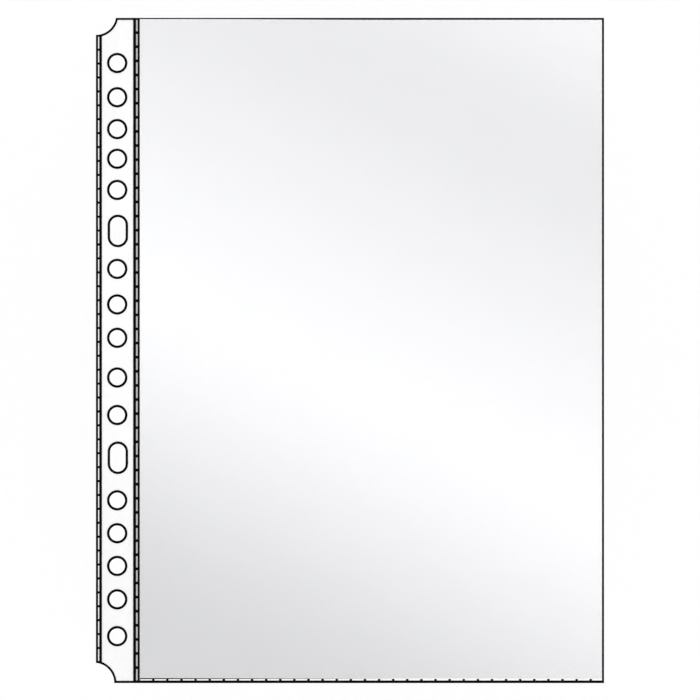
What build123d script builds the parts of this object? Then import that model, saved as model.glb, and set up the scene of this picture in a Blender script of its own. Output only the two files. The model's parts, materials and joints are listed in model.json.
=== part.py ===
"""Top-loading sheet protector: a clear film pocket welded to a white punched binding strip.

Millimetres. The pocket lies flat on its back: +X runs from the binding strip to the side fold,
+Y runs from the bottom weld to the open mouth, and +Z is the front. The origin is the middle of
the back face.
"""

import os

from build123d import *

os.makedirs("parts", exist_ok=True)

# Paper that the pocket takes, and the room left round it
paper_width = 210.0
paper_height = 297.0
paper_side_room = 2.5
paper_mouth_room = 5.76

# Film of the pocket, and the binding strip that the film's margin covers
film_thickness = 0.15
strip_thickness = 0.42
strip_width = 14.5

# Notches that round off the strip's outer corners inwards
notch_radius = 9.3
top_notch_rise = 1.5
bottom_notch_shift = 0.9

# Punched line, measured from the strip's outer edge and from its middle height
hole_diameter = 7.4
hole_inset = 9.75
hole_heights = (131.8, 116.1, 101.5, 87.9, 73.6, 37.4, 21.1, 5.8, -12.4, -29.6,
                -68.7, -83.8, -98.8, -114.1, -131.0)
slot_length = 13.0
slot_inset = 10.05
slot_heights = (54.8, -49.2)
hole_end_margin = 2.0

# Ladder welds: two raised rails joined by rungs across a groove
ridge_height = 0.16
rung_width = 0.85
edge_outer_rail = 0.9
edge_groove = 0.7
edge_inner_rail = 1.05
edge_rung_pitch = 6.38
spine_strip_rail = 1.25
spine_groove = 0.75
spine_pocket_rail = 0.95
spine_rung_pitch = 6.47
bottom_rail = 1.05
bottom_groove = 0.75
mouth_bead_diameter = 0.44
bottom_rung_pitch = 6.47

# Room at the two living hinges, and at the front film's free sides
hinge_clearance = 0.1
film_clearance = 0.1

# Places that follow from the sizes above: the front film is level with the film over the strip
pocket_thickness = strip_thickness + film_thickness
weld_floor = pocket_thickness
weld_height = weld_floor + ridge_height
fold_radius = pocket_thickness / 2
edge_weld_width = edge_outer_rail + edge_groove + edge_inner_rail
spine_weld_width = spine_strip_rail + spine_groove + spine_pocket_rail
bottom_weld_width = bottom_rail + bottom_groove + mouth_bead_diameter
pocket_width = hinge_clearance + paper_width + paper_side_room + fold_radius
overall_width = edge_weld_width + strip_width + spine_weld_width + pocket_width
overall_height = bottom_weld_width + paper_height + paper_mouth_room

left = -overall_width / 2
right = overall_width / 2
bottom = -overall_height / 2
top = overall_height / 2
strip_left = left + edge_weld_width
strip_right = strip_left + strip_width
spine_right = strip_right + spine_weld_width
pocket_left = spine_right + hinge_clearance
fold_left = right - fold_radius
film_bottom = bottom + bottom_weld_width

# Axis of the pocket's hinge in the spine weld, and of the mouth's hinge in the bottom weld
spine_axis_x = spine_right - weld_height / 2
spine_axis_z = weld_height / 2
mouth_axis_y = film_bottom - mouth_bead_diameter / 2
mouth_axis_z = pocket_thickness - film_thickness / 2


def rung_count(length, pitch):
    """Rungs that a weld of this length has, with a whole window left at each end."""
    return max(round(length / pitch) - 1, 1)


def finish(builder, name):
    """Name a finished piece and write it to its own file."""
    builder.part.label = name
    export_step(builder.part, f"parts/{name}.step")


# Corner notches and punched holes, which go through the strip and the film over it
with BuildSketch() as corner_notches:
    with Locations((left, top + top_notch_rise), (left - bottom_notch_shift, bottom)):
        Circle(notch_radius)

highest_hole = top + top_notch_rise - notch_radius - hole_end_margin
lowest_hole = bottom + notch_radius + hole_end_margin
with BuildSketch() as punched_line:
    for height in hole_heights:
        if lowest_hole < height - hole_diameter / 2 and height + hole_diameter / 2 < highest_hole:
            with Locations((left + hole_inset, height)):
                Circle(hole_diameter / 2)
    for height in slot_heights:
        if lowest_hole < height - slot_length / 2 and height + slot_length / 2 < highest_hole:
            with Locations((left + slot_inset, height)):
                SlotOverall(slot_length, hole_diameter, rotation=90)

# Binding strip: white and stiff, with the film's margin over its front
for piece_name, base, thickness in (
    ("binding_strip", 0, strip_thickness),
    ("strip_cover_film", strip_thickness, film_thickness),
):
    with BuildPart() as strip_piece:
        with BuildSketch(Plane.XY.offset(base)):
            with Locations(((strip_left + strip_right) / 2, 0)):
                Rectangle(strip_width, overall_height)
            add(corner_notches.sketch, mode=Mode.SUBTRACT)
            add(punched_line.sketch, mode=Mode.SUBTRACT)
        extrude(amount=thickness)
    finish(strip_piece, piece_name)

# Edge weld: joins the film to the strip along the outer edge, between the notches
edge_groove_left = left + edge_outer_rail
edge_groove_right = strip_left - edge_inner_rail
edge_length = highest_hole - lowest_hole + 2 * hole_end_margin
with BuildPart() as edge_weld:
    with BuildSketch(Plane.XZ.offset(-top)):
        with BuildLine():
            Polyline(
                (left, 0), (strip_left, 0), (strip_left, weld_height),
                (edge_groove_right, weld_height), (edge_groove_right, weld_floor),
                (edge_groove_left, weld_floor), (edge_groove_left, weld_height),
                (left, weld_height), close=True,
            )
        make_face()
    extrude(amount=overall_height)
    with BuildSketch(Plane.XY.offset(weld_floor)):
        with Locations(((edge_groove_left + edge_groove_right) / 2, (highest_hole + lowest_hole) / 2)):
            with GridLocations(0, edge_rung_pitch, 1, rung_count(edge_length, edge_rung_pitch)):
                Rectangle(edge_groove, rung_width)
    extrude(amount=ridge_height)
    extrude(corner_notches.sketch, amount=weld_height, mode=Mode.SUBTRACT)
finish(edge_weld, "edge_weld")

# Spine weld: joins the strip to the pocket, and its round pocket-side rail is the pocket's hinge
spine_groove_left = strip_right + spine_strip_rail
spine_groove_right = spine_right - spine_pocket_rail
with BuildPart() as spine_weld:
    with BuildSketch(Plane.XZ.offset(-top)):
        with BuildLine():
            Polyline(
                (spine_axis_x, weld_height), (spine_groove_right, weld_height),
                (spine_groove_right, weld_floor), (spine_groove_left, weld_floor),
                (spine_groove_left, weld_height), (strip_right, weld_height),
                (strip_right, 0), (spine_axis_x, 0),
            )
            ThreePointArc(
                (spine_axis_x, 0), (spine_right, spine_axis_z), (spine_axis_x, weld_height)
            )
        make_face()
    extrude(amount=overall_height)
    with BuildSketch(Plane.XY.offset(weld_floor)):
        with Locations(((spine_groove_left + spine_groove_right) / 2, 0)):
            with GridLocations(0, spine_rung_pitch, 1, rung_count(overall_height, spine_rung_pitch)):
                Rectangle(spine_groove, rung_width)
    extrude(amount=ridge_height)
finish(spine_weld, "spine_weld")

# Bottom weld: closes the pocket, and its round upper rail is the front film's hinge
bottom_groove_low = bottom + bottom_rail
bottom_groove_high = bottom_groove_low + bottom_groove
with BuildPart() as bottom_weld:
    with BuildSketch(Plane.YZ.offset(pocket_left)):
        with BuildLine():
            Polyline(
                (bottom, 0), (film_bottom, 0), (film_bottom, weld_floor),
                (bottom_groove_low, weld_floor), (bottom_groove_low, weld_height),
                (bottom, weld_height), close=True,
            )
        make_face()
        with Locations((mouth_axis_y, mouth_axis_z)):
            Circle(mouth_bead_diameter / 2)
    extrude(amount=right - pocket_left)
    with BuildSketch(Plane.XY.offset(weld_floor)):
        with Locations(((pocket_left + right) / 2, (bottom_groove_low + bottom_groove_high) / 2)):
            with GridLocations(bottom_rung_pitch, 0, rung_count(right - pocket_left, bottom_rung_pitch), 1):
                Rectangle(rung_width, bottom_groove)
    extrude(amount=ridge_height)
finish(bottom_weld, "bottom_weld")

# Back film: from the spine to the fold, flat on the surface that the pocket lies on
with BuildPart() as back_film:
    with BuildSketch():
        with Locations(((pocket_left + fold_left) / 2, (film_bottom + top) / 2)):
            Rectangle(fold_left - pocket_left, top - film_bottom)
    extrude(amount=film_thickness)
finish(back_film, "back_film")

# Side fold: the film's U-turn from the back up to the front
with BuildPart() as side_fold:
    with BuildSketch(Plane.XZ.offset(-top)):
        with Locations((fold_left, fold_radius)):
            Circle(fold_radius)
            Circle(fold_radius - film_thickness, mode=Mode.SUBTRACT)
        with Locations((fold_left - fold_radius / 2, fold_radius)):
            Rectangle(fold_radius, pocket_thickness, mode=Mode.SUBTRACT)
    extrude(amount=top - film_bottom)
finish(side_fold, "side_fold")

# Front film: lifts at the mouth, so it stands clear of the welds and the fold
front_left = pocket_left
front_right = fold_left - film_clearance
front_bottom = film_bottom + hinge_clearance
with BuildPart() as front_film:
    with BuildSketch(Plane.XY.offset(pocket_thickness - film_thickness)):
        with Locations(((front_left + front_right) / 2, (front_bottom + top) / 2)):
            Rectangle(front_right - front_left, top - front_bottom)
    extrude(amount=film_thickness)
finish(front_film, "front_film")

print(f"overall {overall_width:.2f} x {overall_height:.2f} x {weld_height:.2f} mm")
print(f"spine hinge at x {spine_axis_x:.3f}, z {spine_axis_z:.3f}")
print(f"mouth hinge at y {mouth_axis_y:.3f}, z {mouth_axis_z:.3f}")
print(f"hole line at x {left + hole_inset:.3f}, slot line at x {left + slot_inset:.3f}")
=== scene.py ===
"""Looks of the sheet protector: clear films, white strip, dark ladder welds and edge beads.

Metres, in the frame of the solids: +X runs from the strip to the fold, +Y to the mouth, +Z to the front.
"""

import json
import math

import bpy
import numpy as np
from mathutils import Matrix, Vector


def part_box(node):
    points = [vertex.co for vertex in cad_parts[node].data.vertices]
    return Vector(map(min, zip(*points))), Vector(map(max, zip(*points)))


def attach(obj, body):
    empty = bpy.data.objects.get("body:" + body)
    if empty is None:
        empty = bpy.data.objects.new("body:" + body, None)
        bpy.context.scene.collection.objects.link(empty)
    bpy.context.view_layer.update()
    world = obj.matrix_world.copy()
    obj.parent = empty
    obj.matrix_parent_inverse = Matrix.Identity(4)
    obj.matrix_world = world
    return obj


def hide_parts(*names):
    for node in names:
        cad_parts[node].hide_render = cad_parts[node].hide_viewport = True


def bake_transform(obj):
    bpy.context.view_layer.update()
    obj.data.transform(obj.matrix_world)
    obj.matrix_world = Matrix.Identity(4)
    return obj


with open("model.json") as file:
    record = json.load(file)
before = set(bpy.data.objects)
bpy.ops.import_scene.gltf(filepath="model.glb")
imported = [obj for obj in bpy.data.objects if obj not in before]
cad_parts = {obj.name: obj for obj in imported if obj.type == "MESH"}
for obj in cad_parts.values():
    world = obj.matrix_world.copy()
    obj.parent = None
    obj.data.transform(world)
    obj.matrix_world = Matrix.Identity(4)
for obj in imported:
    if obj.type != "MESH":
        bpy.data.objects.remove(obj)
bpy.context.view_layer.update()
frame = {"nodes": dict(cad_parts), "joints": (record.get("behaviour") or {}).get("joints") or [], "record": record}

MM = 0.001

# Places of the pieces, read from the frame
nodes = frame["nodes"]
joints = {joint["name"]: joint for joint in frame["joints"]}
edge_low, edge_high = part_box("edge_weld")
strip_low, strip_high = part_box("binding_strip")
spine_low, spine_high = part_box("spine_weld")
weld_low, weld_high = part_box("bottom_weld")
front_low, front_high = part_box("front_film")
back_low, back_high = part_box("back_film")
fold_low, fold_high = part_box("side_fold")
strip_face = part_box("strip_cover_film")[1].z
spine_axis_x = joints["spine_bend"]["pos_m"][0]
mouth_axis_y = joints["mouth_opening"]["pos_m"][1]
left = edge_low.x
right = fold_high.x
bottom = strip_low.y
top = strip_high.y

# Framing: the picture's width at the strip's face, and how far the object lies below the picture's middle.
# The camera takes its sensor's width in millimetres.
PICTURE_WIDTH = 320.95 * MM
OBJECT_DROP = 0.216 * MM
CAMERA_HEIGHT = 2.0
SENSOR_WIDTH = 36.0

# Widths of the dark lines along the edges, and how far a hole's line reaches into the hole
STRIP_TOP_LINE = 0.93 * MM
NOTCH_LINE = 1.0 * MM
BOTTOM_LINE = 1.06 * MM
FOLD_LINE = 0.94 * MM
HOLE_LINE = 1.14 * MM
HOLE_LAP = 0.16 * MM

# Line along the mouth: thin beside the spine, full on the right, and the places on X between which it widens
THIN_MOUTH_LINE = 0.53 * MM
MOUTH_LINE = 0.88 * MM
THIN_MOUTH_END = -69.0 * MM
FULL_MOUTH_START = 14.0 * MM

# Line along the mouth's hinge: its width beside the spine, and the place on X where it tapers to nothing
HINGE_LINE = 0.5 * MM
HINGE_LINE_END = 30.0 * MM

# Beads on the strip: how far they stand up and go into it, the power that makes their section round, and how
# far those along the strip's ends run past the spine's axis
BEAD_HEIGHT = 0.12 * MM
BEAD_ROOT = 0.02 * MM
BEAD_POWER = 3
BEAD_REACH = 0.3 * MM

# Steps across a bead, along a notch, round a hole and round the fold
BEAD_STEPS = 8
NOTCH_STEPS = 24
HOLE_STEPS = 48
FOLD_STEPS = 12

# Notches at the strip's outer corners, as in the solids
NOTCH_RADIUS = 9.3 * MM
TOP_NOTCH_RISE = 1.5 * MM
BOTTOM_NOTCH_SHIFT = 0.9 * MM

# Rails and grooves of the ladder welds and pitches of their rungs, as in the solids
EDGE_OUTER_RAIL = 0.9 * MM
EDGE_INNER_RAIL = 1.05 * MM
EDGE_RUNG_PITCH = 6.38 * MM
SPINE_STRIP_RAIL = 1.25 * MM
SPINE_POCKET_RAIL = 0.95 * MM
SPINE_RUNG_PITCH = 6.47 * MM
BOTTOM_RAIL = 1.05 * MM
BOTTOM_GROOVE = 0.75 * MM
BOTTOM_RUNG_PITCH = 6.47 * MM

# Dark feet of the rails in the groove, and dark flash of the welds on the strip
EDGE_FOOT = 0.1 * MM
BOTTOM_FOOT = 0.15 * MM
WELD_FLASH = 0.1 * MM

# The rungs' dark lines, how far the spine's lie off their middles, and how far the bottom's run up the bead
EDGE_RUNG_LINE = 1.03 * MM
SPINE_RUNG_LINE = 1.3 * MM
SPINE_RUNG_RISE = 0.16 * MM
BOTTOM_RUNG_LINE = 1.12 * MM
BOTTOM_RUNG_REACH = 0.15 * MM

# Films: how far the front bows up between its edges, their room at the spine's rail, and their grid
FILM_BOW = 0.1 * MM
RAIL_ROOM = 0.01 * MM
FILM_COLUMNS = 48
FILM_ROWS = 64

# How far the front film laps over its hinge's bead, and the bottom weld's dark end into what it joins
HINGE_LAP = 0.06 * MM
RAIL_LAP = 0.03 * MM

# Edges that turn less than this look smooth
SHARP_ANGLE = math.radians(35)


def grey(tone):
    return (tone, tone, tone, 1)


# Tones that the colours wander between
STRIP_TONES = (grey(0.935), grey(0.965))
WHITE_TONES = (grey(0.95), grey(0.98))
GREY_TONES = (grey(0.54), grey(0.6))
BLACK_TONES = (grey(0.001), grey(0.003))
FILM_TONES = ((0.317, 0.328, 0.395, 1), (0.342, 0.353, 0.42, 1))

# Noise in the materials: patches to the metre, layers of detail, and the part of its range that is used
STRIP_MOTTLE = 160
STRIP_PATCHES = 90
STRIP_GRAIN = 2600
FILM_MOTTLE = 40
GROOVE_MOTTLE = 500
BLACK_MOTTLE = 700
MATT_PATCHES = 400
MOTTLE_DETAIL = 4.0
FILM_DETAIL = 1.0
PATCH_DETAIL = 2.0
GRAIN_DETAIL = 3.0
NOISE_RANGE = (0.3, 0.7)

# Roughness that wanders between two values, the faint shine of matt pieces, and the strip's grain
STRIP_ROUGHNESS = (0.42, 0.5)
LINE_ROUGHNESS = (0.7, 0.85)
WELD_ROUGHNESS = (0.6, 0.8)
MATT_SPECULAR = 0.03
GRAIN_STRENGTH = 0.12
GRAIN_DEPTH = 0.02 * MM

# Film: a low alpha thins its mirror image too, so its index and specular level are raised to make up
CLEAR_ALPHA = 0.13
COVER_ALPHA = 0.05
FILM_ROUGHNESS = 0.1
FILM_IOR = 3.0
FILM_SPECULAR = 1.0

# Colour sockets of a mix node, which shares their names with its other sockets
MIX_FACTOR = 0
MIX_FIRST = 6
MIX_SECOND = 7
MIX_RESULT = 2

# Floor and world: the floor is low enough for the pocket to hang down from the strip
FLOOR_SIZE = 6.0
FLOOR_ROOM = 1.0 * MM
FLOOR_TONE = 0.25
AMBIENT = 1.045

# Overhead panel lamp, graded along one direction. Each stop is a distance in millimetres and a tone, as the
# flat film mirrors them to the camera. On the panel they lie further apart, by the mirror's scale.
PANEL_HEIGHT = 2.4
PANEL_SIZE = 0.9
PANEL_TURN = math.radians(115)
PANEL_REACH = 200.0 * MM
PANEL_STOPS = ((-190, 0.86), (-129, 0.39), (11, 1.0), (31, 1.0), (136, 0.075), (171, 0.075))
PANEL_STRENGTH = 2.15
MIRROR_SCALE = 1 + PANEL_HEIGHT / CAMERA_HEIGHT

# Soft bands of light round the room, which only glossy pieces mirror
BAND_DIRECTION = (0.35, 0.2, 0.85)
BAND_RATE = 60.0
BAND_LIFT = 0.1


# Nodes of materials and of the world

def add_node(tree, kind, **settings):
    """A new node with its settings, where a value given by an input's name goes on that input."""
    node = tree.nodes.new(kind)
    for key, value in settings.items():
        if key in node.inputs:
            node.inputs[key].default_value = value
        else:
            setattr(node, key, value)
    return node


def calculate(tree, operation, first, second=0.0):
    """The result of one operation on two values, each a number or the output of a node."""
    node = add_node(tree, "ShaderNodeMath", operation=operation)
    for socket, value in zip(node.inputs, (first, second)):
        if isinstance(value, bpy.types.NodeSocket):
            tree.links.new(value, socket)
        else:
            socket.default_value = value
    return node.outputs["Value"]


def away(tree, value, middle):
    """Distance of a value from a middle, either way."""
    return calculate(tree, "ABSOLUTE", calculate(tree, "SUBTRACT", value, middle))


def along(tree, place, direction):
    """How far a place lies along a direction."""
    node = add_node(tree, "ShaderNodeVectorMath", operation="DOT_PRODUCT")
    tree.links.new(place, node.inputs[0])
    node.inputs[1].default_value = direction
    return node.outputs["Value"]


def axes_of(tree, place):
    """The X, Y and Z outputs of a place."""
    node = add_node(tree, "ShaderNodeSeparateXYZ")
    tree.links.new(place, node.inputs["Vector"])
    return node.outputs


def rescaled(tree, value, old_range, new_range):
    """A value taken from one range to another, and held at its ends."""
    node = add_node(tree, "ShaderNodeMapRange")
    names = ("From Min", "From Max", "To Min", "To Max")
    for name, limit in zip(names, (*old_range, *new_range)):
        node.inputs[name].default_value = limit
    tree.links.new(value, node.inputs["Value"])
    return node.outputs["Result"]


def graded(tree, value, stops):
    """A colour that follows a value through stops of a position and a colour."""
    node = add_node(tree, "ShaderNodeValToRGB")
    elements = node.color_ramp.elements
    while len(elements) < len(stops):
        elements.new(0.5)
    for element, (position, colour) in zip(elements, stops):
        element.position = position
        element.color = colour
    tree.links.new(value, node.inputs["Fac"])
    return node.outputs["Color"]


def mixed(tree, factor, first, second):
    """The first colour where the factor is 0, and the second where it is 1."""
    node = add_node(tree, "ShaderNodeMix", data_type="RGBA")
    tree.links.new(factor, node.inputs[MIX_FACTOR])
    tree.links.new(first, node.inputs[MIX_FIRST])
    tree.links.new(second, node.inputs[MIX_SECOND])
    return node.outputs[MIX_RESULT]


def noise(tree, place, scale, detail):
    node = add_node(tree, "ShaderNodeTexNoise", Scale=scale, Detail=detail)
    tree.links.new(place, node.inputs["Vector"])
    return node.outputs["Fac"]


def mottle(tree, place, tones, scale, detail=MOTTLE_DETAIL):
    """A colour that wanders between two close tones."""
    return graded(tree, noise(tree, place, scale, detail), tuple(zip(NOISE_RANGE, tones)))


def wander(tree, place, scale, limits):
    """A number that wanders between two limits."""
    return rescaled(tree, noise(tree, place, scale, PATCH_DETAIL), NOISE_RANGE, limits)


def near_black(tree, place):
    return mottle(tree, place, BLACK_TONES, BLACK_MOTTLE)


def seen_directly(tree):
    """1 for rays from the camera, mirrors and clear pieces, and 0 for rays that carry light."""
    path = add_node(tree, "ShaderNodeLightPath").outputs
    camera_or_mirror = calculate(tree, "MAXIMUM", path["Is Camera Ray"], path["Is Glossy Ray"])
    return calculate(tree, "MAXIMUM", camera_or_mirror, path["Is Transmission Ray"])


# Materials of the pieces

def new_material(name):
    """A material, its node tree, its shader, and places that stay with the piece when it moves."""
    material = bpy.data.materials.new(name)
    material.use_nodes = True
    tree = material.node_tree
    place = add_node(tree, "ShaderNodeTexCoord").outputs["Object"]
    return material, tree, tree.nodes["Principled BSDF"], place


def strip_plastic():
    """White plastic with a fine grain, and the dark flash of the welds along both its edges."""
    material, tree, shader, place = new_material("strip_plastic")
    white = mottle(tree, place, STRIP_TONES, STRIP_MOTTLE)
    from_middle = away(tree, axes_of(tree, place)["X"], (strip_low.x + strip_high.x) / 2)
    flash = calculate(tree, "GREATER_THAN", from_middle, (strip_high.x - strip_low.x) / 2 - WELD_FLASH)
    tree.links.new(mixed(tree, flash, white, near_black(tree, place)), shader.inputs["Base Color"])
    tree.links.new(wander(tree, place, STRIP_PATCHES, STRIP_ROUGHNESS), shader.inputs["Roughness"])
    bump = add_node(tree, "ShaderNodeBump", Strength=GRAIN_STRENGTH, Distance=GRAIN_DEPTH)
    tree.links.new(noise(tree, place, STRIP_GRAIN, GRAIN_DETAIL), bump.inputs["Height"])
    tree.links.new(bump.outputs["Normal"], shader.inputs["Normal"])
    return material


def film_material(name, tones, alpha):
    """Clear glossy film: it lets most light through and mirrors the lamp above it."""
    material, tree, shader, place = new_material(name)
    tree.links.new(mottle(tree, place, tones, FILM_MOTTLE, FILM_DETAIL), shader.inputs["Base Color"])
    shader.inputs["Roughness"].default_value = FILM_ROUGHNESS
    shader.inputs["IOR"].default_value = FILM_IOR
    shader.inputs["Specular IOR Level"].default_value = FILM_SPECULAR
    shader.inputs["Alpha"].default_value = alpha
    return material


def matt(tree, shader, place, colour, roughness):
    """Gives a shader its colour, an uneven roughness and hardly any shine."""
    tree.links.new(colour, shader.inputs["Base Color"])
    tree.links.new(wander(tree, place, MATT_PATCHES, roughness), shader.inputs["Roughness"])
    shader.inputs["Specular IOR Level"].default_value = MATT_SPECULAR


def dark_line():
    """Matt near-black of the beads along cut and folded edges."""
    material, tree, shader, place = new_material("dark_line")
    matt(tree, shader, place, near_black(tree, place), LINE_ROUGHNESS)
    return material


def rungs(tree, value, middle, pitch, line):
    """1 on the rungs, which repeat along an axis and stand evenly either side of its middle."""
    turns = calculate(tree, "DIVIDE", calculate(tree, "SUBTRACT", value, middle), pitch)
    from_rung = away(tree, calculate(tree, "FRACT", turns), 0.5)
    return calculate(tree, "LESS_THAN", from_rung, line / pitch / 2)


def weld_finish(tree, shader, place, dark, groove_tones):
    """Near-black where dark is 1, and the groove's pale tones elsewhere."""
    pale = mottle(tree, place, groove_tones, GROOVE_MOTTLE)
    matt(tree, shader, place, mixed(tree, dark, pale, near_black(tree, place)), WELD_ROUGHNESS)


def upright_weld(name, groove_tones, groove_low, groove_high, rung_middle, rung_pitch, rung_line):
    """Ladder weld along Y: dark rails either side of a pale groove, and dark rungs across it."""
    material, tree, shader, place = new_material(name)
    axes = axes_of(tree, place)
    from_middle = away(tree, axes["X"], (groove_low + groove_high) / 2)
    rail = calculate(tree, "GREATER_THAN", from_middle, (groove_high - groove_low) / 2)
    rung = rungs(tree, axes["Y"], rung_middle, rung_pitch, rung_line)
    weld_finish(tree, shader, place, calculate(tree, "MAXIMUM", rail, rung), groove_tones)
    return material


def pocket_bottom_weld():
    """Ladder weld along X: a dark lower rail, rungs and end, and the hinge's line, which tapers off."""
    material, tree, shader, place = new_material("bottom_weld")
    axes = axes_of(tree, place)
    groove_low = weld_low.y + BOTTOM_RAIL
    rail = calculate(tree, "LESS_THAN", axes["Y"], groove_low + BOTTOM_FOOT)
    rung_top = groove_low + BOTTOM_GROOVE + BOTTOM_RUNG_REACH
    below_rung_top = calculate(tree, "LESS_THAN", axes["Y"], rung_top)
    rung_middle = (weld_low.x + weld_high.x) / 2
    rung = rungs(tree, axes["X"], rung_middle, BOTTOM_RUNG_PITCH, BOTTOM_RUNG_LINE)
    taper = HINGE_LINE / (HINGE_LINE_END - weld_low.x)
    before_end = calculate(tree, "SUBTRACT", HINGE_LINE_END, axes["X"])
    half_line = calculate(tree, "MULTIPLY", before_end, taper / 2)
    hinge_line = calculate(tree, "LESS_THAN", away(tree, axes["Y"], mouth_axis_y), half_line)
    end = calculate(tree, "GREATER_THAN", axes["X"], weld_high.x - FOLD_LINE)
    dark = calculate(tree, "MULTIPLY", rung, below_rung_top)
    for mark in (rail, hinge_line, end):
        dark = calculate(tree, "MAXIMUM", dark, mark)
    weld_finish(tree, shader, place, dark, WHITE_TONES)
    return material


# Meshes

def dress(piece, *materials):
    piece.data.materials.clear()
    for material in materials:
        piece.data.materials.append(material)


def mesh_piece(name, points, faces, materials, face_materials=None):
    """A new object from points and faces, smooth but for its corners."""
    mesh = bpy.data.meshes.new(name)
    mesh.from_pydata(points, [], faces)
    piece = bpy.data.objects.new(name, mesh)
    bpy.context.scene.collection.objects.link(piece)
    dress(piece, *materials)
    if face_materials is not None:
        mesh.polygons.foreach_set("material_index", face_materials)
    mesh.polygons.foreach_set("use_smooth", [True] * len(mesh.polygons))
    mesh.set_sharp_from_angle(angle=SHARP_ANGLE)
    mesh.update()
    return piece


def add_bead(points, faces, path, closed):
    """Adds a rounded bead on the strip, on the right of a path of (x, y, across x, across y) as walked."""
    first = len(points)
    for x, y, across_x, across_y in path:
        for step in range(BEAD_STEPS + 1):
            share = step / BEAD_STEPS
            rise = BEAD_HEIGHT * (1 - abs(2 * share - 1) ** BEAD_POWER)
            points.append((x + across_x * share, y + across_y * share, strip_face + rise))
        points.append((x + across_x, y + across_y, strip_face - BEAD_ROOT))
        points.append((x, y, strip_face - BEAD_ROOT))
    ring = (len(points) - first) // len(path)
    runs = len(path) if closed else len(path) - 1
    for run in range(runs):
        here = first + run * ring
        there = first + (run + 1) % len(path) * ring
        for step in range(ring):
            after = (step + 1) % ring
            faces.append((here + step, here + after, there + after, there + step))
    if not closed:
        last = first + runs * ring
        faces.append(tuple(first + step for step in reversed(range(ring))))
        faces.append(tuple(last + step for step in range(ring)))


def strip_beads(name, paths, closed):
    """Dark beads on the strip along some paths, as one piece."""
    points = []
    faces = []
    for path in paths:
        add_bead(points, faces, path, closed)
    beads = mesh_piece(name, points, faces, [dark_finish])
    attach(beads, "strip")


def arc_path(centre_x, centre_y, radius, start, end, width, steps):
    """A bead's path along an arc, with the bead's width outside it."""
    path = []
    for step in range(steps + 1):
        angle = start + (end - start) * step / steps
        cosine = math.cos(angle)
        sine = math.sin(angle)
        path.append((centre_x + radius * cosine, centre_y + radius * sine, width * cosine, width * sine))
    return path


# Finishes that several pieces share
clear_finish = film_material("clear_film", FILM_TONES, CLEAR_ALPHA)
dark_finish = dark_line()

# CAD nodes that keep their shape. The edge weld's rungs stand evenly between the two notches.
between_notches = TOP_NOTCH_RISE / 2
dress(nodes["binding_strip"], strip_plastic())
dress(nodes["strip_cover_film"], film_material("cover_film", WHITE_TONES, COVER_ALPHA))
dress(nodes["edge_weld"], upright_weld(
    "edge_weld", WHITE_TONES,
    edge_low.x + EDGE_OUTER_RAIL + EDGE_FOOT, edge_high.x - EDGE_INNER_RAIL - EDGE_FOOT,
    between_notches, EDGE_RUNG_PITCH, EDGE_RUNG_LINE))
dress(nodes["spine_weld"], upright_weld(
    "spine_weld", GREY_TONES,
    spine_low.x + SPINE_STRIP_RAIL, spine_high.x - SPINE_POCKET_RAIL,
    SPINE_RUNG_RISE, SPINE_RUNG_PITCH, SPINE_RUNG_LINE))
dress(nodes["bottom_weld"], pocket_bottom_weld())


# Dark bead round the strip's cut ends and notches

def notch_path(centre_x, centre_y, far_angle, edge_y, edge_line):
    """A bead's path along a notch from its far end, round a mitred corner, and along the strip's end."""
    corner_x = centre_x + math.sqrt(NOTCH_RADIUS ** 2 - (edge_y - centre_y) ** 2)
    mitre_radius = NOTCH_RADIUS + NOTCH_LINE
    mitre_angle = math.asin((edge_y + edge_line - centre_y) / mitre_radius)
    mitre_x = centre_x + mitre_radius * math.cos(mitre_angle)
    path = arc_path(centre_x, centre_y, NOTCH_RADIUS, far_angle, mitre_angle, NOTCH_LINE, NOTCH_STEPS)
    path[-1] = (corner_x, edge_y, mitre_x - corner_x, edge_line)
    path.append((spine_axis_x + BEAD_REACH, edge_y, 0, edge_line))
    return path


bottom_far_angle = math.acos(BOTTOM_NOTCH_SHIFT / NOTCH_RADIUS)
top_path = notch_path(left, top + TOP_NOTCH_RISE, -math.pi / 2, top, -STRIP_TOP_LINE)
bottom_path = notch_path(left - BOTTOM_NOTCH_SHIFT, bottom, bottom_far_angle, bottom, BOTTOM_LINE)
strip_beads("strip_edge_bead", [top_path, bottom_path[::-1]], closed=False)

# Dark rims round the punched holes and slots
rim_paths = []
for mount in frame["record"]["mounts"]:
    dims = mount["dims"]
    x, y = mount["pos_m"][:2]
    if mount["kind"] == "bore":
        rim = dims["r_mm"] * MM - HOLE_LAP
        circle = arc_path(x, y, rim, 0, math.tau, HOLE_LINE, HOLE_STEPS)
        rim_paths.append(circle[:-1])
    elif mount["kind"] == "bolt_pattern":
        rim = dims["hole_r_mm"] * MM - HOLE_LAP
        reach = dims["slot_length_mm"] * MM / 2 - dims["hole_r_mm"] * MM
        spacing = dims["spacing_y_mm"] * MM
        for middle in (y - spacing / 2, y + spacing / 2):
            upper = arc_path(x, middle + reach, rim, 0, math.pi, HOLE_LINE, HOLE_STEPS // 2)
            lower = arc_path(x, middle - reach, rim, math.pi, math.tau, HOLE_LINE, HOLE_STEPS // 2)
            rim_paths.append(upper + lower)
strip_beads("hole_rims", rim_paths, closed=True)


# Films of the pocket, which run from the spine to the fold's dark line

fold_inner = right - FOLD_LINE
film_left = spine_high.x + RAIL_ROOM
film_columns = np.linspace(film_left, fold_inner, FILM_COLUMNS + 1)
front_bottom = weld_high.y - HINGE_LAP


def across_film(x):
    """Share of the way from the spine to the fold."""
    return (x - film_left) / (fold_inner - film_left)


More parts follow.
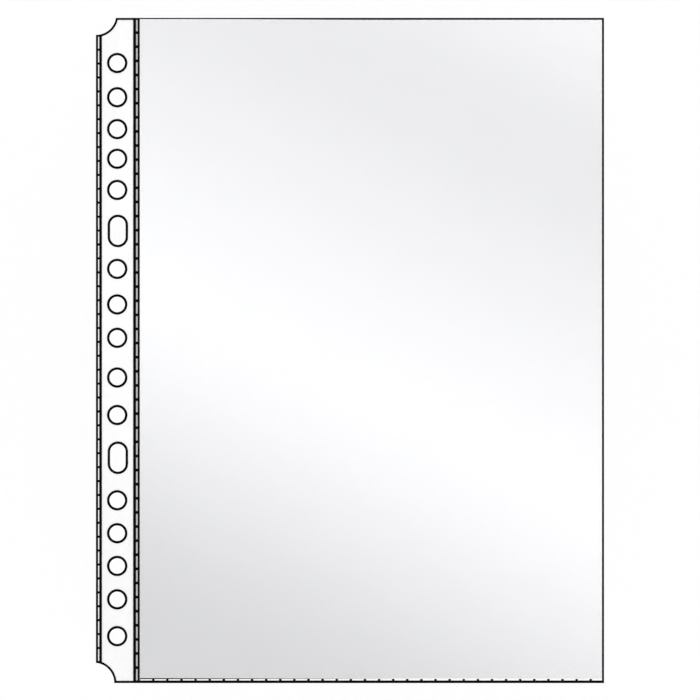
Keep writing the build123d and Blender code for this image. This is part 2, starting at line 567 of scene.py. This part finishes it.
def mouth_line(x):
    """Width of the dark line along the mouth, which widens smoothly away from the spine."""
    share = (x - THIN_MOUTH_END) / (FULL_MOUTH_START - THIN_MOUTH_END)
    share = min(max(share, 0.0), 1.0)
    return THIN_MOUTH_LINE + (MOUTH_LINE - THIN_MOUTH_LINE) * share * share * (3 - 2 * share)


def film(name, start_y, heights_at):
    """A closed thin sheet, whose two faces lie at heights_at(x, y), with the dark line along its mouth."""
    last_column = FILM_COLUMNS
    last_row = FILM_ROWS + 1
    lower, upper = (0, 1)
    points = []
    for side in (lower, upper):
        for x in film_columns:
            rows = [*np.linspace(start_y, top - mouth_line(x), FILM_ROWS + 1), top]
            points += [(x, y, heights_at(x, y)[side]) for y in rows]

    def index(column, row, side):
        return (side * (last_column + 1) + column) * (last_row + 1) + row

    quads = []
    for column in range(last_column):
        for row in range(last_row):
            square = ((column, row), (column + 1, row), (column + 1, row + 1), (column, row + 1))
            quads.append([(*place, upper) for place in square])
            quads.append([(*place, lower) for place in square[::-1]])
    outline = [(column, 0) for column in range(last_column)]
    outline += [(last_column, row) for row in range(last_row)]
    outline += [(column, last_row) for column in range(last_column, 0, -1)]
    outline += [(0, row) for row in range(last_row, 0, -1)]
    for here, after in zip(outline, outline[1:] + outline[:1]):
        quads.append([(*here, lower), (*after, lower), (*after, upper), (*here, upper)])
    faces = [[index(*corner) for corner in quad] for quad in quads]
    in_line = [any(row == last_row for column, row, side in quad) for quad in quads]
    return mesh_piece(name, points, faces, [clear_finish, dark_finish], in_line)


def front_heights(x, y):
    """The front bows up most in the middle of its mouth."""
    up_film = (y - front_bottom) / (top - front_bottom)
    bow = FILM_BOW * math.sin(math.pi * across_film(x)) * math.sin(math.pi / 2 * up_film)
    return front_low.z + bow, front_high.z + bow


def back_heights(x, y):
    """The back is flat."""
    return back_low.z, back_high.z


front_sheet = film("front_sheet", front_bottom, front_heights)
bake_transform(front_sheet)
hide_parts("front_film")

back_sheet = film("back_sheet", back_low.y, back_heights)
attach(back_sheet, "pocket")
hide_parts("back_film")


# Fold: the film turns from the back to the front in a dark crease

fold_radius = fold_high.z / 2
film_thickness = back_high.z - back_low.z


def fold_line(radius):
    """Section of one face of the fold, from the front film round to the back film."""
    line = [(fold_inner, fold_radius + radius)]
    for step in range(FOLD_STEPS + 1):
        angle = math.pi / 2 - math.pi * step / FOLD_STEPS
        line.append((right - fold_radius + radius * math.cos(angle), fold_radius + radius * math.sin(angle)))
    line.append((fold_inner, fold_radius - radius))
    return line


outer_line = fold_line(fold_radius)
inner_line = fold_line(fold_radius - film_thickness)
section = outer_line + inner_line[::-1]
count = len(section)
fold_points = [(x, y, z) for y in (fold_low.y, fold_high.y) for x, z in section]
fold_faces = []
for here in range(count):
    after = (here + 1) % count
    fold_faces.append((here, after, count + after, count + here))
for step in range(len(outer_line) - 1):
    mirror = count - 1 - step
    fold_faces.append((step + 1, step, mirror, mirror - 1))
    fold_faces.append((count + step, count + step + 1, count + mirror - 1, count + mirror))
fold_crease = mesh_piece("fold_crease", fold_points, fold_faces, [dark_finish])
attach(fold_crease, "pocket")
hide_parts("side_fold")

# Dark end of the bottom weld's rail, a small block that closes its gap at the spine. Its corners run along
# X, then Y, then Z.
end_points = []
for z in (weld_low.z, weld_high.z):
    for y in (bottom, bottom + BOTTOM_RAIL):
        end_points += [(spine_high.x - RAIL_LAP, y, z), (weld_low.x + RAIL_LAP, y, z)]
end_faces = [(0, 2, 3, 1), (4, 5, 7, 6), (0, 1, 5, 4), (2, 6, 7, 3), (0, 4, 6, 2), (1, 3, 7, 5)]
weld_end = mesh_piece("weld_end", end_points, end_faces, [dark_finish])
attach(weld_end, "pocket")


# Floor, lamp, world and camera

def stage_material(name):
    """A material with no shader yet, its node tree, and the socket that takes its shader."""
    material = bpy.data.materials.new(name)
    material.use_nodes = True
    tree = material.node_tree
    tree.nodes.clear()
    return material, tree, add_node(tree, "ShaderNodeOutputMaterial").inputs["Surface"]


def stage_square(name, size, height, facing, material):
    """A level square round the middle, which faces up where facing is 1 and down where it is -1."""
    half = size / 2
    corners = [(-half, -half, height), (half, -half, height), (half, half, height), (-half, half, height)]
    square = mesh_piece(name, corners[::facing], [(0, 1, 2, 3)], [material])
    return square


def pale_floor():
    """Floor that keeps the object's shadow, and glows enough to look white where it is seen directly."""
    material, tree, surface = stage_material("pale_floor")
    paint = add_node(tree, "ShaderNodeBsdfDiffuse", Color=grey(FLOOR_TONE))
    glow = add_node(tree, "ShaderNodeEmission")
    strength = calculate(tree, "MULTIPLY", seen_directly(tree), 1 - FLOOR_TONE)
    tree.links.new(strength, glow.inputs["Strength"])
    both = add_node(tree, "ShaderNodeAddShader")
    tree.links.new(paint.outputs["BSDF"], both.inputs[0])
    tree.links.new(glow.outputs["Emission"], both.inputs[1])
    tree.links.new(both.outputs["Shader"], surface)
    floor_drop = right - spine_axis_x + FLOOR_ROOM
    stage_square("floor", FLOOR_SIZE, -floor_drop, 1, material)


def panel_lamp():
    """Lamp that the films mirror and the camera doesn't see."""
    material, tree, surface = stage_material("panel_lamp")
    place = add_node(tree, "ShaderNodeTexCoord").outputs["Object"]
    from_middle = along(tree, place, (math.cos(PANEL_TURN), -math.sin(PANEL_TURN), 0))
    reach = PANEL_REACH * MIRROR_SCALE
    share = rescaled(tree, from_middle, (-reach, reach), (0, 1))
    stops = [((distance * MM / PANEL_REACH + 1) / 2, grey(tone)) for distance, tone in PANEL_STOPS]
    glow = add_node(tree, "ShaderNodeEmission", Strength=PANEL_STRENGTH)
    tree.links.new(graded(tree, share, stops), glow.inputs["Color"])
    tree.links.new(glow.outputs["Emission"], surface)
    panel = stage_square("panel_lamp", PANEL_SIZE, PANEL_HEIGHT, -1, material)
    panel.visible_camera = False


def white_world():
    """White where it is seen directly, with soft bands where a glossy piece mirrors it."""
    world = bpy.data.worlds.new("studio")
    bpy.context.scene.world = world
    world.use_nodes = True
    tree = world.node_tree
    background = tree.nodes["Background"]
    background.inputs["Color"].default_value = grey(1)
    plain = rescaled(tree, seen_directly(tree), (0, 1), (AMBIENT, 1))
    direction = add_node(tree, "ShaderNodeTexCoord").outputs["Generated"]
    turns = calculate(tree, "MULTIPLY", along(tree, direction, BAND_DIRECTION), BAND_RATE)
    bands = calculate(tree, "ADD", calculate(tree, "SINE", turns), BAND_LIFT)
    in_mirror = add_node(tree, "ShaderNodeLightPath").outputs["Is Glossy Ray"]
    strength = calculate(tree, "ADD", plain, calculate(tree, "MULTIPLY", bands, in_mirror))
    tree.links.new(strength, background.inputs["Strength"])


def straight_down_camera():
    lens = bpy.data.cameras.new("camera")
    lens.sensor_width = SENSOR_WIDTH
    lens.lens = SENSOR_WIDTH * (CAMERA_HEIGHT - strip_face) / PICTURE_WIDTH
    camera = bpy.data.objects.new("camera", lens)
    camera.location = (0, OBJECT_DROP, CAMERA_HEIGHT)
    bpy.context.scene.collection.objects.link(camera)
    bpy.context.scene.camera = camera


pale_floor()
panel_lamp()
white_world()
straight_down_camera()
bpy.context.scene.view_settings.view_transform = "Standard"
